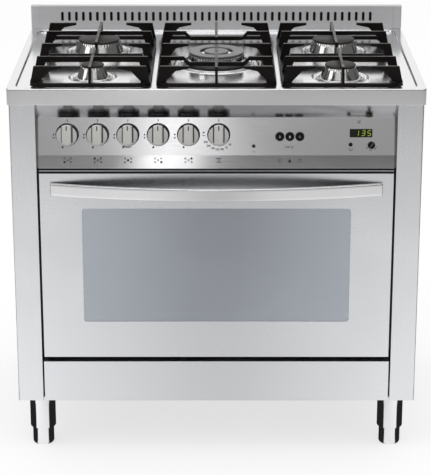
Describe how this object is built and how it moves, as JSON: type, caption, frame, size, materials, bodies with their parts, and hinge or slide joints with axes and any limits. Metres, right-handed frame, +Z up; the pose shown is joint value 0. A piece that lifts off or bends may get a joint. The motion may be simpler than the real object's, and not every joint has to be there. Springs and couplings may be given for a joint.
{
  "type": "gas range cooker",
  "caption": "Free-standing stainless gas range with a hob, cast iron pan supports, control panel, windowed oven door with bowed handle, storage drawer and round legs.",
  "frame": {"origin": "on the floor, under the middle of the whole stove's box", "axes": "+X to the right, +Y to the back (the door faces -Y), +Z up"},
  "size_m": [0.9, 0.6499, 0.9055],
  "materials": {
    "brushed_steel": "brushed, grain across",
    "galvanised_steel": "plain zinc-coated sheet",
    "cast_iron": "black enamel, half gloss",
    "burner_aluminium": "turned, polished",
    "black_enamel": "black enamel, matt",
    "oven_enamel": "dark speckled enamel",
    "knob_metal": "satin",
    "black_plastic": "fine grain",
    "window_glass": "polished, tinted",
    "clock_glass": "smoked",
    "lamp_lens": "amber, unlit",
    "chrome": "polished",
    "seal_rubber": "matt",
    "brass": "as cast",
    "ceramic": "glazed ceramic"
  },
  "bodies": {
    "root": {"worktop": "brushed_steel", "splashback_panel": "brushed_steel", "splashback_end_caps": "brushed_steel", "control_panel": "brushed_steel", "side_panel_left": "brushed_steel", "side_panel_right": "brushed_steel", "foot_sleeves": "brushed_steel", "back_panel": "galvanised_steel", "base_pan": "galvanised_steel", "drawer_runners": "galvanised_steel", "door_hinge_arms": "galvanised_steel", "gas_manifold": "galvanised_steel", "oven_burner": "galvanised_steel", "burner_cups": "burner_aluminium", "burner_cap_centre": "burner_aluminium", "burner_pipes": "burner_aluminium", "burner_crown_front_left": "burner_aluminium", "burner_crown_rear_left": "burner_aluminium", "burner_crown_centre": "burner_aluminium", "burner_crown_rear_right": "burner_aluminium", "burner_crown_front_right": "burner_aluminium", "burner_cap_front_left": "black_enamel", "burner_cap_rear_left": "black_enamel", "burner_cap_rear_right": "black_enamel", "burner_cap_front_right": "black_enamel", "oven_liner": "oven_enamel", "drip_tray": "oven_enamel", "terminal_box": "black_plastic", "oven_lamp": "window_glass", "clock_window": "clock_glass", "indicator_lamp": "lamp_lens", "foot_legs": "chrome", "shelf_ladders": "chrome", "wire_shelf": "chrome", "grill_element": "chrome", "door_seal": "seal_rubber", "gas_taps": "brass", "spark_electrodes": "ceramic"},
    "knob_front_left": {"knob_front_left": "knob_metal"},
    "knob_rear_left": {"knob_rear_left": "knob_metal"},
    "knob_centre": {"knob_centre": "knob_metal"},
    "knob_front_right": {"knob_front_right": "knob_metal"},
    "knob_rear_right": {"knob_rear_right": "knob_metal"},
    "oven_knob": {"oven_knob": "knob_metal"},
    "button_light": {"button_light": "black_plastic"},
    "button_grill": {"button_grill": "black_plastic"},
    "button_ignition": {"button_ignition": "black_plastic"},
    "timer_button": {"timer_button": "black_plastic"},
    "timer_knob": {"timer_knob": "black_plastic"},
    "pan_support_left": {"pan_support_left": "cast_iron"},
    "pan_support_centre": {"pan_support_centre": "cast_iron"},
    "pan_support_right": {"pan_support_right": "cast_iron"},
    "door": {"door_panel": "brushed_steel", "door_glass": "window_glass", "door_inner_glass": "window_glass", "door_inner_frame": "oven_enamel", "door_handle": "brushed_steel", "door_hinge_bodies": "galvanised_steel"},
    "drawer": {"drawer_front": "brushed_steel", "drawer_box": "galvanised_steel"}
  },
  "joints": [
    {"name": "knob_front_left_turn", "type": "hinge", "parent": "root", "child": "knob_front_left", "pos_m": [-0.322, -0.26236, 0.7451], "axis": [0, -0.9703, 0.2419], "range_deg": [0, 200]},
    {"name": "knob_rear_left_turn", "type": "hinge", "parent": "root", "child": "knob_rear_left", "pos_m": [-0.2566, -0.26236, 0.7451], "axis": [0, -0.9703, 0.2419], "range_deg": [0, 200]},
    {"name": "knob_centre_turn", "type": "hinge", "parent": "root", "child": "knob_centre", "pos_m": [-0.1912, -0.26236, 0.7451], "axis": [0, -0.9703, 0.2419], "range_deg": [0, 200]},
    {"name": "knob_front_right_turn", "type": "hinge", "parent": "root", "child": "knob_front_right", "pos_m": [-0.1258, -0.26236, 0.7451], "axis": [0, -0.9703, 0.2419], "range_deg": [0, 200]},
    {"name": "knob_rear_right_turn", "type": "hinge", "parent": "root", "child": "knob_rear_right", "pos_m": [-0.0604, -0.26236, 0.7451], "axis": [0, -0.9703, 0.2419], "range_deg": [0, 200]},
    {"name": "oven_knob_turn", "type": "hinge", "parent": "root", "child": "oven_knob", "pos_m": [0.005, -0.26236, 0.7451], "axis": [0, -0.9703, 0.2419], "range_deg": [0, 240]},
    {"name": "button_light_press", "type": "slide", "parent": "root", "child": "button_light", "axis": [0, 0.9703, -0.2419], "range_m": [0, 0.003], "stiffness_N_per_m": 400, "springref_m": -0.002},
    {"name": "button_grill_press", "type": "slide", "parent": "root", "child": "button_grill", "axis": [0, 0.9703, -0.2419], "range_m": [0, 0.003], "stiffness_N_per_m": 400, "springref_m": -0.002},
    {"name": "button_ignition_press", "type": "slide", "parent": "root", "child": "button_ignition", "axis": [0, 0.9703, -0.2419], "range_m": [0, 0.003], "stiffness_N_per_m": 400, "springref_m": -0.002},
    {"name": "timer_button_press", "type": "slide", "parent": "root", "child": "timer_button", "axis": [0, 0.9703, -0.2419], "range_m": [0, 0.002], "stiffness_N_per_m": 300, "springref_m": -0.002},
    {"name": "timer_knob_turn", "type": "hinge", "parent": "root", "child": "timer_knob", "pos_m": [0.3346, -0.26746, 0.723], "axis": [0, -0.9703, 0.2419], "range_deg": [-150, 150]},
    {"name": "pan_support_left_lift", "type": "slide", "parent": "root", "child": "pan_support_left", "axis": [0, 0, 1], "range_m": [0, 0.06]},
    {"name": "pan_support_centre_lift", "type": "slide", "parent": "root", "child": "pan_support_centre", "axis": [0, 0, 1], "range_m": [0, 0.06]},
    {"name": "pan_support_right_lift", "type": "slide", "parent": "root", "child": "pan_support_right", "axis": [0, 0, 1], "range_m": [0, 0.06]},
    {"name": "door_hinge", "type": "hinge", "parent": "root", "child": "door", "pos_m": [0, -0.258, 0.25], "axis": [1, 0, 0], "range_deg": [0, 90], "stiffness_Nm_per_rad": 4, "springref_deg": -45.84},
    {"name": "drawer_slide", "type": "slide", "parent": "root", "child": "drawer", "axis": [0, -1, 0], "range_m": [0, 0.33]}
  ]
}
